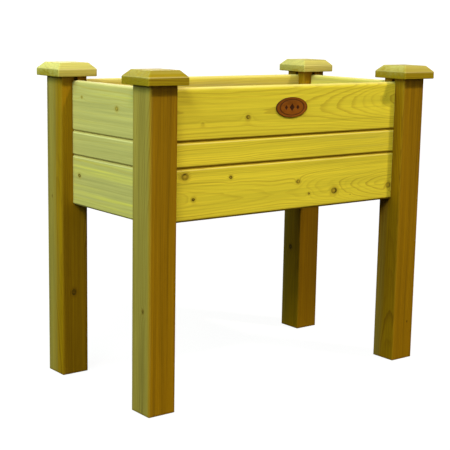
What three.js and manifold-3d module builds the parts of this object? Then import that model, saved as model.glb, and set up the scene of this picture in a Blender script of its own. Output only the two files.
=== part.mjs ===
// A waist-high cedar planter: a box of three boards a side, held between four square posts.
// Each board ends in a dovetail tail that slides down a socket in the post, so no fixing shows.
// A bevelled cap on each post closes its sockets. Inside, cleats carry a floor of loose slats.
// Millimetres, +Z up, origin on the ground under the middle, front towards -Y, length along X.
import * as THREE from "three";
import { mergeVertices } from "three/addons/utils/BufferGeometryUtils.js";
import Module from "manifold-3d";

// ---- Driving dimensions ----
const POST_SPACING_X = 814; // centre to centre along the length
const POST_SPACING_Y = 400; // centre to centre across the width
const POST_SIDE = 76;
const POST_HEIGHT = 778.5;
const POST_ROUND = 5; // radius of the long edges
const FOOT_EASE = 2; // chamfer round both ends of a post

const CAP_OVERHANG = 18.3; // how far a cap stands out past its post, all round
const CAP_RIM = 18.2; // height of the upright rim
const CAP_BEVEL = 16; // rise of the bevel, and its run
const CAP_SEAT = 0.3; // between a post and its cap

const BOARD_THICKNESS = 19;
const BOARD_SETBACK = 32; // from a post's outer face to a board's outer face
const WIDE_BOARD = 127.4;
const NARROW_BOARD = 62;
const BOARD_GAP = 0.3; // between one board and the next above it
const BOARD_BEVEL = 4.2; // 45 degree bevels along the edges, which make a V at each joint
const BOX_TOP_BELOW_POST = 8.6; // from the top of a post down to the rim of the box

const TONGUE_THICKNESS = 6;
const TONGUE_HEIGHT = 7;
const TONGUE_FIT = 0.4; // clearance at each cheek of a tongue
const TONGUE_END_FIT = 1; // clearance above a tongue

const TAIL_LENGTH = 12;
const TAIL_NECK = 11; // thickness of a tail where it leaves its shoulder
const TAIL_END = 15; // thickness of a tail at its tip
const TAIL_FIT = 0.35; // clearance round a tail in its socket
const SHOULDER_GAP = 0.3; // between a board's shoulder and the post

const CLEAT_THICKNESS = 19;
const CLEAT_HEIGHT = 38;
const CLEAT_RISE = 20; // from the foot of the box to the foot of a cleat
const CLEAT_GAP = 0.3; // between a cleat and its board
const CLEAT_END_GAP = 1.5; // between a cleat's end and what stops it

const SLAT_COUNT = 6;
const SLAT_GAP = 5.5; // for drainage, between the slats and at both ends of the floor
const SLAT_THICKNESS = 19;
const SLAT_EASE = 2; // chamfer along the upper and lower edges
const SLAT_ROUND = 4; // radius of the upright edges
const SLAT_REST = 0.3; // between a slat and the cleats
const SLAT_END_GAP = 2; // between a slat and the boards at its ends
const NOTCH_GAP = 2; // between an end slat and the posts that it is notched round

const SCREW_HEAD_RADIUS = 4;
const SCREW_HEAD_DEPTH = 3;
const SCREW_RADIUS = 2;
const SCREW_BITE = 12; // how far a screw goes into its board
const SCREW_POINT = 6; // length of the tapered point
const SCREW_FIT = 0.3; // clearance round and under a screw
const SCREW_END_MARGIN = 55; // from a cleat's end to its first screw
const SCREWS_ON_LONG_CLEAT = 4;
const SCREWS_ON_SHORT_CLEAT = 2;

const DOWEL_RADIUS = 5;
const DOWEL_IN_POST = 22;
const DOWEL_IN_CAP = 17;
const DOWEL_FIT = 0.3;
const DOWEL_CHAMFER = 1;

const BADGE_LENGTH = 102;
const BADGE_HEIGHT = 51;
const BADGE_THICKNESS = 3;
const BADGE_EASE = 0.8;
const BADGE_GAP = 0.3; // the glue line behind it
const BADGE_BELOW_RIM = 56; // from the rim of the box down to the badge's centre

const CURVE_STEPS = 5; // an arc is drawn with twice this many straight steps
const OVAL_STEPS = 24; // and so is the badge's outline with this many
const ROUND_STEPS = 16; // straight steps round a screw or a dowel
const OVERRUN = 1; // how far a cutter runs past the face that it opens

// ---- Sizes that follow ----
const POST_HALF = POST_SIDE / 2;
const CAP_SIDE = POST_SIDE + 2 * CAP_OVERHANG;
const CLEAR_X = POST_SPACING_X - POST_SIDE; // between the posts, along the length
const CLEAR_Y = POST_SPACING_Y - POST_SIDE; // between the posts, across the width
const BOARD_INSET = BOARD_SETBACK + BOARD_THICKNESS / 2 - POST_HALF; // board's middle, in from the post's
const BOX_HEIGHT = 2 * WIDE_BOARD + NARROW_BOARD + 2 * BOARD_GAP;
const BOX_TOP = POST_HEIGHT - BOX_TOP_BELOW_POST;
const BOX_BOTTOM = BOX_TOP - BOX_HEIGHT;
const CLEAT_FACE = BOARD_THICKNESS / 2 + CLEAT_GAP; // where a cleat starts, in from the board's middle
const CLEAT_TOP = CLEAT_RISE + CLEAT_HEIGHT; // above the foot of the box
const INNER_X = POST_SPACING_X - 2 * BOARD_INSET - BOARD_THICKNESS;
const INNER_Y = POST_SPACING_Y - 2 * BOARD_INSET - BOARD_THICKNESS;
const BETWEEN_LONG_CLEATS = INNER_Y - 2 * (CLEAT_GAP + CLEAT_THICKNESS);
const SLAT_WIDTH = (INNER_X - (SLAT_COUNT + 1) * SLAT_GAP) / SLAT_COUNT;
const SCREW_LENGTH = CLEAT_THICKNESS + CLEAT_GAP + SCREW_BITE;
const SCREW_HEIGHT = CLEAT_RISE + CLEAT_HEIGHT / 2;

// ---- Materials ----
const finish = (color, roughness, metalness = 0) =>
  new THREE.MeshStandardMaterial({ color, roughness, metalness });
const postCedar = finish(0x8a6a12, 0.6);
const boardCedar = finish(0xc9b638, 0.6);
const capCedar = finish(0xb8a032, 0.6);
const floorCedar = finish(0xbfa552, 0.75);
const badgeWood = finish(0x8c4a14, 0.55);
const dowelBeech = finish(0xcbaa78, 0.6);
const screwSteel = finish(0xb8b6a6, 0.35, 1);

// ---- Solids ----
const wasm = await Module();
wasm.setup();

/** The closed solid that a geometry bounds. */
function solidOf(geometry) {
  const bare = geometry.clone();
  bare.deleteAttribute("normal");
  bare.deleteAttribute("uv");
  const merged = mergeVertices(bare, 1e-4);
  return new wasm.Manifold(
    new wasm.Mesh({
      numProp: 3,
      vertProperties: merged.attributes.position.array,
      triVerts: new Uint32Array(merged.index.array),
    }),
  );
}

/** The geometry of a solid's surface. */
function geometryOf(solid) {
  const { vertProperties, triVerts } = solid.getMesh();
  return new THREE.BufferGeometry()
    .setAttribute("position", new THREE.BufferAttribute(vertProperties, 3))
    .setIndex(new THREE.BufferAttribute(triVerts, 1));
}

/** A geometry with each of the cutters taken out of it. */
function cut(geometry, cutters) {
  const left = cutters.reduce(
    (solid, cutter) => solid.subtract(solidOf(cutter)),
    solidOf(geometry),
  );
  return geometryOf(left);
}

/** A shape drawn through straight-sided corners. */
const polygon = (points) =>
  new THREE.Shape(points.map(([x, y]) => new THREE.Vector2(x, y)));

/** A rectangle about the origin with rounded corners. */
function roundedRectangle(width, height, radius) {
  const x = width / 2 - radius;
  const y = height / 2 - radius;
  const shape = new THREE.Shape();
  shape.absarc(x, y, radius, 0, Math.PI / 2);
  shape.absarc(-x, y, radius, Math.PI / 2, Math.PI);
  shape.absarc(-x, -y, radius, Math.PI, 1.5 * Math.PI);
  shape.absarc(x, -y, radius, 1.5 * Math.PI, 2 * Math.PI);
  return shape;
}

/** A shape in plan carried up from z = 0 by a height, its two ends chamfered by ease. */
const upright = (shape, height, ease = 0) =>
  new THREE.ExtrudeGeometry(shape, {
    depth: height - 2 * ease,
    curveSegments: CURVE_STEPS,
    bevelEnabled: ease > 0,
    bevelThickness: ease,
    bevelSize: ease,
    bevelOffset: -ease,
    bevelSegments: 1,
  }).translate(0, 0, ease);

/** A section in (y, z) carried along X over a length centred on the origin. */
const alongX = (section, length) =>
  new THREE.ExtrudeGeometry(section, {
    depth: length,
    curveSegments: CURVE_STEPS,
    bevelEnabled: false,
  })
    .translate(0, 0, -length / 2)
    .rotateX(Math.PI / 2)
    .rotateZ(Math.PI / 2);

/** A profile of (radius, height) pairs turned about the Y axis. */
const turned = (profile) =>
  new THREE.LatheGeometry(
    profile.map(([r, y]) => new THREE.Vector2(r, y)),
    ROUND_STEPS,
  );

// ---- Dovetails ----
/** Half the thickness of a tail at a distance past its shoulder. */
const tailHalf = (distance) =>
  TAIL_NECK / 2 + (distance * (TAIL_END - TAIL_NECK)) / 2 / TAIL_LENGTH;

/** The two sockets of a post in plan, in its +X and +Y faces: a tail's shape with the fit round it. */
function socketPlans() {
  const mouth = POST_HALF + OVERRUN;
  const floor = POST_HALF + SHOULDER_GAP - TAIL_LENGTH - TAIL_FIT;
  const half = (x) => tailHalf(POST_HALF + SHOULDER_GAP - x) + TAIL_FIT;
  const corners = [
    [mouth, BOARD_INSET - half(mouth)],
    [mouth, BOARD_INSET + half(mouth)],
    [floor, BOARD_INSET + half(floor)],
    [floor, BOARD_INSET - half(floor)],
  ];
  const swapped = corners.map(([x, y]) => [y, x]);
  return [polygon(corners), polygon(swapped)];
}

/** A board in plan: its body between two shoulders, and a tail at each end. */
function boardPlan(body) {
  const shoulder = body / 2;
  const tip = shoulder + TAIL_LENGTH;
  const side = BOARD_THICKNESS / 2 + OVERRUN;
  const neck = TAIL_NECK / 2;
  const end = TAIL_END / 2;
  const right = [
    [shoulder, -side],
    [shoulder, -neck],
    [tip, -end],
    [tip, end],
    [shoulder, neck],
    [shoulder, side],
  ];
  const left = right.map(([x, y]) => [-x, -y]);
  return polygon([...right, ...left]);
}

// ---- Posts, caps and dowels ----
/** The post at the front left. Its sockets open to its top, and to +X and +Y. */
function postGeometry() {
  const post = upright(
    roundedRectangle(POST_SIDE, POST_SIDE, POST_ROUND),
    POST_HEIGHT,
    FOOT_EASE,
  );
  const socketFoot = BOX_BOTTOM - BOARD_GAP;
  const socketHeight = POST_HEIGHT + OVERRUN - socketFoot;
  const sockets = socketPlans().map((plan) =>
    upright(plan, socketHeight).translate(0, 0, socketFoot),
  );
  const dowelHole = holeGeometry(
    DOWEL_RADIUS + DOWEL_FIT,
    DOWEL_IN_POST + DOWEL_FIT,
  ).translate(0, 0, POST_HEIGHT);
  return cut(post, [...sockets, dowelHole]);
}

/** A round cutter about Z that opens the plane z = 0 and goes down to a depth. */
const holeGeometry = (radius, depth) =>
  turned([
    [0, -depth],
    [radius, -depth],
    [radius, OVERRUN],
    [0, OVERRUN],
  ]).rotateX(Math.PI / 2);

/** A cap with its seat at z = 0: an upright rim, a bevel on all four sides and a flat top. */
function capGeometry() {
  const corner = (half) => half * Math.SQRT2;
  const profile = [
    [0, 0],
    [CAP_SIDE / 2, 0],
    [CAP_SIDE / 2, CAP_RIM],
    [CAP_SIDE / 2 - CAP_BEVEL, CAP_RIM + CAP_BEVEL],
    [0, CAP_RIM + CAP_BEVEL],
  ].map(([half, z]) => new THREE.Vector2(corner(half), z));
  const cap = new THREE.LatheGeometry(profile, 4, Math.PI / 4).rotateX(
    Math.PI / 2,
  );
  const hole = holeGeometry(
    DOWEL_RADIUS + DOWEL_FIT,
    DOWEL_IN_CAP + DOWEL_FIT,
  ).rotateX(Math.PI);
  return cut(cap, [hole]);
}

/** A dowel about Z, its lower end at z = 0, both ends chamfered. */
function dowelGeometry() {
  const length = DOWEL_IN_POST + CAP_SEAT + DOWEL_IN_CAP;
  return turned([
    [0, 0],
    [DOWEL_RADIUS - DOWEL_CHAMFER, 0],
    [DOWEL_RADIUS, DOWEL_CHAMFER],
    [DOWEL_RADIUS, length - DOWEL_CHAMFER],
    [DOWEL_RADIUS - DOWEL_CHAMFER, length],
    [0, length],
  ]).rotateX(Math.PI / 2);
}

// ---- Boards ----
/**
 * A board's section in (y, z), foot at z = 0. Long edges are bevelled, a grooved foot takes the
 * tongue of the board below, and the top has a tongue, or else is a full round.
 */
function boardSection(height, { grooved = false, tongued = false }) {
  const half = BOARD_THICKNESS / 2;
  const seat = half - BOARD_BEVEL;
  const shape = new THREE.Shape();
  shape.moveTo(-half, BOARD_BEVEL);
  shape.lineTo(-seat, 0);
  if (grooved) {
    const cheek = TONGUE_THICKNESS / 2 + TONGUE_FIT;
    const roof = TONGUE_HEIGHT - BOARD_GAP + TONGUE_END_FIT;
    shape.lineTo(-cheek, 0);
    shape.lineTo(-cheek, roof);
    shape.lineTo(cheek, roof);
    shape.lineTo(cheek, 0);
  }
  shape.lineTo(seat, 0);
  shape.lineTo(half, BOARD_BEVEL);
  if (tongued) {
    const cheek = TONGUE_THICKNESS / 2;
    shape.lineTo(half, height - BOARD_BEVEL);
    shape.lineTo(seat, height);
    shape.lineTo(cheek, height);
    shape.lineTo(cheek, height + TONGUE_HEIGHT);
    shape.lineTo(-cheek, height + TONGUE_HEIGHT);
    shape.lineTo(-cheek, height);
    shape.lineTo(-seat, height);
    shape.lineTo(-half, height - BOARD_BEVEL);
  } else {
    shape.absarc(0, height - half, half, 0, Math.PI);
  }
  return shape;
}

/** A board along X with its outer face to -Y, less any cutters. */
function boardGeometry(clear, height, edges, cutters = []) {
  const body = clear - 2 * SHOULDER_GAP;
  const stock = alongX(
    boardSection(height, edges),
    body + 2 * TAIL_LENGTH + 2 * OVERRUN,
  );
  const plan = upright(
    boardPlan(body),
    height + TONGUE_HEIGHT + 2 * OVERRUN,
  ).translate(0, 0, -OVERRUN);
  const tailed = geometryOf(solidOf(stock).intersect(solidOf(plan)));
  return cutters.length ? cut(tailed, cutters) : tailed;
}

// ---- Cleats and screws ----
/** A countersunk screw's profile from its point to the edge of its head, grown by a fit. */
const screwProfile = (fit) => [
  [0, -SCREW_LENGTH - fit],
  [SCREW_RADIUS + fit, -SCREW_LENGTH + SCREW_POINT - fit],
  [SCREW_RADIUS + fit, -SCREW_HEAD_DEPTH - fit],
  [SCREW_HEAD_RADIUS + fit, -fit],
];

/** A screw along -Y with its head's face at y = 0. */
const screwGeometry = () => turned([...screwProfile(0), [0, 0]]);

/** The cutter for a screw's hole, which runs on past the face that the head lies in. */
const screwHoleGeometry = () =>
  turned([
    ...screwProfile(SCREW_FIT),
    [SCREW_HEAD_RADIUS + SCREW_FIT, OVERRUN],
    [0, OVERRUN],
  ]);

/** What make gives, at each of the screws' places along a cleat of some length. */
function atScrewPlaces(cleatLength, count, make) {
  const run = cleatLength - 2 * SCREW_END_MARGIN;
  const head = CLEAT_FACE + CLEAT_THICKNESS;
  return Array.from({ length: count }, (_, i) =>
    make().translate((i / (count - 1) - 0.5) * run, head, SCREW_HEIGHT),
  );
}

/** A cleat along X behind the lowest board, bored and countersunk for its screws. */
function cleatGeometry(length, holes) {
  const section = polygon([
    [CLEAT_FACE, CLEAT_RISE],
    [CLEAT_FACE + CLEAT_THICKNESS, CLEAT_RISE],
    [CLEAT_FACE + CLEAT_THICKNESS, CLEAT_TOP],
    [CLEAT_FACE, CLEAT_TOP],
  ]);
  return cut(alongX(section, length), holes);
}

// ---- Floor ----
/** A slat across the width with its foot at z = 0. Its corners near a post are notched. */
function slatGeometry(centre) {
  const halfWidth = SLAT_WIDTH / 2;
  const halfLength = INNER_Y / 2 - SLAT_END_GAP;
  const stock = upright(
    roundedRectangle(SLAT_WIDTH, 2 * halfLength, SLAT_ROUND),
    SLAT_THICKNESS,
    SLAT_EASE,
  );
  const reach = Math.abs(centre) + halfWidth - (CLEAR_X / 2 - NOTCH_GAP);
  const notchLength = halfLength - (CLEAR_Y / 2 - NOTCH_GAP);
  if (reach <= 0 || notchLength <= 0) return stock;
  const notches = [-1, 1].map((end) =>
    new THREE.BoxGeometry(
      reach + OVERRUN,
      notchLength + OVERRUN,
      SLAT_THICKNESS + 2 * OVERRUN,
    ).translate(
      Math.sign(centre) * (halfWidth - (reach - OVERRUN) / 2),
      end * (halfLength - (notchLength - OVERRUN) / 2),
      SLAT_THICKNESS / 2,
    ),
  );
  return cut(stock, notches);
}

// ---- Badge ----
/** A thin oval along X and Z, its back at y = 0 and its face to -Y. */
function badgeGeometry() {
  const oval = new THREE.Shape();
  oval.absellipse(
    0,
    0,
    BADGE_LENGTH / 2 - BADGE_EASE,
    BADGE_HEIGHT / 2 - BADGE_EASE,
    0,
    2 * Math.PI,
  );
  return new THREE.ExtrudeGeometry(oval, {
    depth: BADGE_THICKNESS - 2 * BADGE_EASE,
    curveSegments: OVAL_STEPS,
    bevelThickness: BADGE_EASE,
    bevelSize: BADGE_EASE,
    bevelSegments: 1,
  })
    .translate(0, 0, BADGE_EASE)
    .rotateX(Math.PI / 2);
}

// ---- Assembly ----
const planter = new THREE.Group();

function add(parent, name, geometry, material, x = 0, y = 0, z = 0) {
  const mesh = new THREE.Mesh(geometry, material);
  mesh.name = name;
  mesh.position.set(x, y, z);
  parent.add(mesh);
  return mesh;
}

// Corners in turn about Z from the front left, so that each is the last one turned a quarter.
const corners = [
  ["front_left", -1, -1],
  ["front_right", 1, -1],
  ["rear_right", 1, 1],
  ["rear_left", -1, 1],
];
corners.forEach(([name, signX, signY], quarter) => {
  const corner = new THREE.Group();
  corner.position.set(
    (signX * POST_SPACING_X) / 2,
    (signY * POST_SPACING_Y) / 2,
    0,
  );
  corner.rotation.z = (quarter * Math.PI) / 2;
  add(corner, `post_${name}`, postGeometry(), postCedar);
  add(
    corner,
    `cap_${name}`,
    capGeometry(),
    capCedar,
    0,
    0,
    POST_HEIGHT + CAP_SEAT,
  );
  add(
    corner,
    `dowel_${name}`,
    dowelGeometry(),
    dowelBeech,
    0,
    0,
    POST_HEIGHT - DOWEL_IN_POST,
  );
  planter.add(corner);
});

// A side's own frame: X along its boards, outer face to -Y, foot of the box at z = 0.
// A short cleat stops at the posts, or at the long cleats where those stand further in.
const longSide = {
  clear: CLEAR_X,
  out: POST_SPACING_Y / 2 - BOARD_INSET,
  cleatLength: CLEAR_X - 2 * CLEAT_END_GAP,
  screws: SCREWS_ON_LONG_CLEAT,
};
const shortSide = {
  clear: CLEAR_Y,
  out: POST_SPACING_X / 2 - BOARD_INSET,
  cleatLength: Math.min(CLEAR_Y, BETWEEN_LONG_CLEATS) - 2 * CLEAT_END_GAP,
  screws: SCREWS_ON_SHORT_CLEAT,
};
const sides = [
  ["front", longSide],
  ["right", shortSide],
  ["rear", longSide],
  ["left", shortSide],
];
sides.forEach(([name, { clear, out, cleatLength, screws }], quarter) => {
  const side = new THREE.Group();
  const angle = (quarter * Math.PI) / 2;
  side.rotation.z = angle;
  side.position.set(Math.sin(angle) * out, -Math.cos(angle) * out, BOX_BOTTOM);

  const holes = atScrewPlaces(cleatLength, screws, screwHoleGeometry);
  const low = boardGeometry(clear, WIDE_BOARD, { tongued: true }, holes);
  const middle = boardGeometry(clear, NARROW_BOARD, {
    grooved: true,
    tongued: true,
  });
  const high = boardGeometry(clear, WIDE_BOARD, { grooved: true });
  const middleFoot = WIDE_BOARD + BOARD_GAP;
  const highFoot = middleFoot + NARROW_BOARD + BOARD_GAP;
  add(side, `board_${name}_bottom`, low, boardCedar);
  add(side, `board_${name}_middle`, middle, boardCedar, 0, 0, middleFoot);
  add(side, `board_${name}_top`, high, boardCedar, 0, 0, highFoot);
  add(side, `cleat_${name}`, cleatGeometry(cleatLength, holes), floorCedar);
  atScrewPlaces(cleatLength, screws, screwGeometry).forEach((screw, i) =>
    add(side, `screw_${name}_${i + 1}`, screw, screwSteel),
  );

  if (name === "front") {
    const face = -BOARD_THICKNESS / 2 - BADGE_GAP;
    const centre = BOX_HEIGHT - BADGE_BELOW_RIM;
    add(side, "badge", badgeGeometry(), badgeWood, 0, face, centre);
  }
  planter.add(side);
});

for (let i = 0; i < SLAT_COUNT; i += 1) {
  const centre = (i - (SLAT_COUNT - 1) / 2) * (SLAT_WIDTH + SLAT_GAP);
  add(
    planter,
    `slat_${i + 1}`,
    slatGeometry(centre),
    floorCedar,
    centre,
    0,
    BOX_BOTTOM + CLEAT_TOP + SLAT_REST,
  );
}

export default planter;
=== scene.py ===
"""A waist-high cedar planter: what its timber, joints and fixings look like.

Run as a script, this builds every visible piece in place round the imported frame. Each wooden
piece is a section or an outline carried along a path, and carries its own log: growth rings
round a wandering pith, and knots, worked out at every vertex from where it lies in the tree.
"""

import math
from functools import partial

import bmesh
import bpy
import numpy as np
from bpy.props import FloatProperty, FloatVectorProperty, IntProperty, PointerProperty
from bpy.types import Operator, Panel, PropertyGroup
from mathutils import Matrix, Vector
from mathutils.geometry import tessellate_polygon


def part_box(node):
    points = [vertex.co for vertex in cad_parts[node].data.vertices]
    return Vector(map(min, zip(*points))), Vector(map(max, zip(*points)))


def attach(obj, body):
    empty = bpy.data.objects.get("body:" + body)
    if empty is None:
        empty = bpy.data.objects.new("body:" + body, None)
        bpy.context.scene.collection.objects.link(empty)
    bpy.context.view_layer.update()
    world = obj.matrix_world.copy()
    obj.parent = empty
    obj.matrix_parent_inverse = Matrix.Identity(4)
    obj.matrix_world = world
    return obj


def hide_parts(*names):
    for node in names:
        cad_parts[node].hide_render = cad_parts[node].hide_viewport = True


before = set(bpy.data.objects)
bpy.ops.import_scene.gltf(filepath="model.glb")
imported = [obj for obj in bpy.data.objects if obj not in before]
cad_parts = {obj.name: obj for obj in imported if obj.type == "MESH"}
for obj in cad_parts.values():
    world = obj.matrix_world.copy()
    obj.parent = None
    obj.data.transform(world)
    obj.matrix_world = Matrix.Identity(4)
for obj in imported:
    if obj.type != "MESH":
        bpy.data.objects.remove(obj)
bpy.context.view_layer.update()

bl_info = {
    "name": "Cedar planter",
    "version": (1, 0, 0),
    "blender": (4, 5, 0),
    "location": "3D View > Sidebar > Planter",
    "description": "Builds a raised cedar planter on legs, piece by piece",
    "category": "Add Mesh",
}

MM = 0.001
BODY = "root"


# ---- Values that a user would change ----
def linear(hex_colour):
    """The linear red, green, blue and alpha of an sRGB hex colour."""
    srgb = np.array([int(hex_colour[i : i + 2], 16) for i in (1, 3, 5)]) / 255
    low = srgb / 12.92
    high = ((srgb + 0.055) / 1.055) ** 2.4
    return (*np.where(srgb <= 0.04045, low, high).tolist(), 1.0)


def length(name, description, millimetres):
    """A property that holds a length."""
    return FloatProperty(
        name=name, description=description, default=millimetres * MM, unit="LENGTH", precision=5
    )


def colour(name, description, hex_colour):
    """A property that holds a colour."""
    return FloatVectorProperty(
        name=name, description=description, default=linear(hex_colour), subtype="COLOR", size=4
    )


class PlanterSizes(PropertyGroup):
    """The sizes of the joints and edges, which the frame's boxes don't give."""

    board_bevel: length("Board bevel", "Rise and run of the bevels along a board's edges", 4.2)
    board_ease: length("Board edge", "Radius where a board's bevel meets its face", 1.2)
    shoulder_ease: length("Shoulder edge", "Radius of the edges at a board's two shoulders", 1.2)
    tongue_height: length("Tongue height", "How far a tongue stands up from its board", 7)
    tongue_thickness: length("Tongue thickness", "From cheek to cheek of a tongue", 6)
    tongue_fit: length("Tongue fit", "Clearance at each cheek of a tongue", 0.4)
    tongue_end_fit: length("Tongue end fit", "Clearance over the end of a tongue", 0.7)
    tail_length: length("Tail length", "How far a dovetail tail stands out from its shoulder", 12)
    tail_neck: length("Tail neck", "Thickness of a tail at its shoulder", 11)
    tail_end: length("Tail end", "Thickness of a tail at its tip", 15)
    tail_fit: length("Tail fit", "Clearance round a tail in its socket", 0.35)
    joint_gap: length("Joint gap", "Gap between pieces that meet face to face", 0.3)
    post_round: length("Post edge", "Radius of a post's four long edges", 5)
    post_ease: length("Post end edge", "Radius of the edges at a post's foot and top", 2)
    cap_rim: length("Cap rim", "Height of a cap's upright rim", 18.2)
    cap_bevel: length("Cap bevel", "Rise of a cap's bevel, which is also its run", 16)
    cap_ease: length("Cap edge", "Radius of a cap's edges", 1.4)
    dowel_radius: length("Dowel radius", "Radius of a dowel between a post and its cap", 5)
    dowel_in_post: length("Dowel in post", "Depth of a dowel in its post", 22)
    slat_ease: length("Slat edge", "Radius of a slat's edges", 2)
    slat_notch_gap: length("Notch gap", "Gap between a notched slat and the post it passes", 2)
    screw_head: length("Screw head", "Radius of a screw's head", 4)
    screw_radius: length("Screw radius", "Radius over a screw's thread", 2)
    screw_pitch: length("Screw pitch", "Distance from one turn of the thread to the next", 1.9)
    badge_border: length("Badge border", "From the badge's edge in to its engraved line", 6)


class PlanterLooks(PropertyGroup):
    """The colours of the timber and the metal, and the scale of the grain."""

    board_pale: colour("Board, pale", "Sapwood side of the boards' cedar", "#BAAB63")
    board_gold: colour("Board, golden", "Heartwood side of the boards' cedar", "#E3D236")
    board_late: colour("Board, late wood", "Dark line that ends each year's ring", "#B08F22")
    post_olive: colour("Post, olive", "Post timber on its pale side", "#968136")
    post_brown: colour("Post, brown", "Post timber on its heart side", "#936D04")
    post_late: colour("Post, late wood", "Dark line that ends each year's ring", "#6E4A06")
    cap_pale: colour("Cap, pale", "Sapwood side of the caps' cedar", "#C6BA60")
    cap_tan: colour("Cap, tan", "Heartwood side of the caps' cedar", "#9C850E")
    floor_pale: colour("Floor, pale", "Sapwood side of the bare floor slats", "#C9AE66")
    floor_tan: colour("Floor, tan", "Heartwood side of the bare floor slats", "#B08B40")
    knot: colour("Knot", "Bark round a knot", "#3E3208")
    # Worn edges, painted paler as a highlight.
    worn_highlight: colour("Worn edge", "Edges rubbed pale by handling", "#F0E4A0")
    # Painted shade: the dark line in the joints. The posts also darken towards their feet in this
    # colour.
    painted_shade: colour("Joint", "Oil and dust that dries in the joints", "#80580C")
    badge: colour("Badge", "Stain on the badge", "#7E4608")
    screw: colour("Screw", "Passivated zinc on the screws", "#C9C6B4")
    ring_spacing: length("Ring spacing", "Width of one year's ring in the boards", 4.2)
    seed: IntProperty(name="Seed", description="Which tree the timber is sawn from", default=7)


# ---- The frame ----
# The corners, in turn about Z from the front left, and the sides from the front.
CORNERS = ("front_left", "front_right", "rear_right", "rear_left")
SIDES = ("front", "right", "rear", "left")


def box_of(name):
    """A node's lowest corner, highest corner and middle."""
    low, high = (np.array(corner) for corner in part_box(name))
    return low, high, (low + high) / 2


def foot_of(name):
    """The middle of the underside of a node's box."""
    low, _, middle = box_of(name)
    return np.array([middle[0], middle[1], low[2]])


# ---- Outlines and sections ----
# How far apart the points of a shell stand at most: close enough for them to hold the grain.
PLAN_STEP = 4 * MM
SECTION_STEP = 3 * MM
LONG_STEP = 5 * MM
BOARD_STEP = 4.5 * MM

FINE = 0.3 * MM  # the radius that is left on a corner cut sharp
SQUARE = np.array([[-1, -1], [1, -1], [1, 1], [-1, 1]])


def rounded(corners, radii, steps=5):
    """
    A closed outline with its corners rounded. Each corner becomes an arc that leaves the side
    before it at the radius's distance and joins the side after it at the same distance:
    corner - radius * before * (1 - sin t) + radius * after * (1 - cos t), for t to 90 degrees.
    """
    corners = np.asarray(corners, float)
    radii = np.broadcast_to(np.asarray(radii, float), len(corners))[:, None, None]
    before = corners - np.roll(corners, 1, axis=0)
    after = np.roll(corners, -1, axis=0) - corners
    before = (before / np.linalg.norm(before, axis=1, keepdims=True))[:, None]
    after = (after / np.linalg.norm(after, axis=1, keepdims=True))[:, None]
    t = np.linspace(0, math.pi / 2, steps + 1)[None, :, None]
    arcs = corners[:, None] - radii * before * (1 - np.sin(t)) + radii * after * (1 - np.cos(t))
    return arcs.reshape(-1, 2)


def dense(outline, step, *others):
    """
    A closed outline with its long stretches cut into equal parts no longer than a step. Others
    with as many corners are cut at the same shares of their own stretches.
    """
    ends = np.roll(outline, -1, axis=0)
    parts = np.maximum(1, np.ceil(np.linalg.norm(ends - outline, axis=1) / step)).astype(int)
    stretch = np.repeat(np.arange(len(outline)), parts)
    first = np.repeat(np.cumsum(parts) - parts, parts)
    share = ((np.arange(parts.sum()) - first) / parts[stretch])[:, None]
    cut = []
    for each in (outline, *others):
        following = np.roll(each, -1, axis=0)
        cut.append(each[stretch] * (1 - share) + following[stretch] * share)
    return cut if others else cut[0]


def quarter_round(radius, steps=3):
    """Insets and heights up a quarter round at a piece's foot: r (1 - sin t) and r (1 - cos t)."""
    t = np.linspace(0, math.pi / 2, steps + 1)
    return radius * (1 - np.sin(t)), radius * (1 - np.cos(t))


def stations(low, high, step):
    """Evenly spaced places from low to high, no further apart than a step."""
    return np.linspace(low, high, 2 + int((high - low) / step))


# ---- Meshes ----
class Shell:
    """Points and faces gathered for one mesh."""

    def __init__(self):
        self.points, self.quads, self.triangles, self.count = [], [], [], 0

    def hold(self, points):
        """Keeps some points, and returns the number of the first."""
        first = self.count
        points = points.reshape(-1, 3)
        self.points.append(points)
        self.count += len(points)
        return first

    def tube(self, loops):
        """
        The surface through closed loops of as many points each. Point k of a loop joins point
        k + 1 and their fellows on the next loop, and it faces out if the loops run anticlockwise
        seen from the far end.
        """
        rows, count = loops.shape[:2]
        start = self.hold(loops) + count * np.arange(rows - 1)[:, None]
        here = start + np.arange(count)
        beside = start + np.roll(np.arange(count), -1)
        faces = np.stack([here, beside, beside + count, here + count], axis=-1)
        self.quads.append(faces.reshape(-1, 4))

    def lid(self, normal, *outlines):
        """A flat face inside the first outline and outside the others, facing along normal."""
        points = np.concatenate(outlines)
        first = self.hold(points)
        faces = np.array(tessellate_polygon([o.tolist() for o in outlines]))
        a, b, c = points[faces].transpose(1, 0, 2)
        backwards = np.cross(b - a, c - a) @ np.asarray(normal, float) < 0
        faces[backwards] = faces[backwards, ::-1]
        self.triangles.append(first + faces)

    def mesh(self, name):
        """The welded mesh. Faces that closed up to nothing, where loops share points, go."""
        quads = np.concatenate(self.quads)
        triangles = np.concatenate(self.triangles) if self.triangles else np.zeros((0, 3), int)
        starts = [4 * np.arange(len(quads)), 4 * len(quads) + 3 * np.arange(len(triangles))]
        corners = np.concatenate([quads.ravel(), triangles.ravel()])
        mesh = bpy.data.meshes.new(name)
        mesh.vertices.add(self.count)
        mesh.vertices.foreach_set("co", np.concatenate(self.points).ravel())
        mesh.loops.add(len(corners))
        mesh.loops.foreach_set("vertex_index", corners)
        mesh.polygons.add(len(quads) + len(triangles))
        mesh.polygons.foreach_set("loop_start", np.concatenate(starts))
        mesh.update(calc_edges=True)
        mesh.validate()
        weld = bmesh.new()
        weld.from_mesh(mesh)
        bmesh.ops.remove_doubles(weld, verts=weld.verts, dist=1e-6)
        bmesh.ops.dissolve_degenerate(weld, edges=weld.edges, dist=1e-7)
        weld.to_mesh(mesh)
        weld.free()
        return mesh


def points_of(mesh):
    """Every vertex's place, one row each."""
    points = np.empty(3 * len(mesh.vertices), np.float32)
    mesh.vertices.foreach_get("co", points)
    return points.reshape(-1, 3).astype(float)


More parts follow.
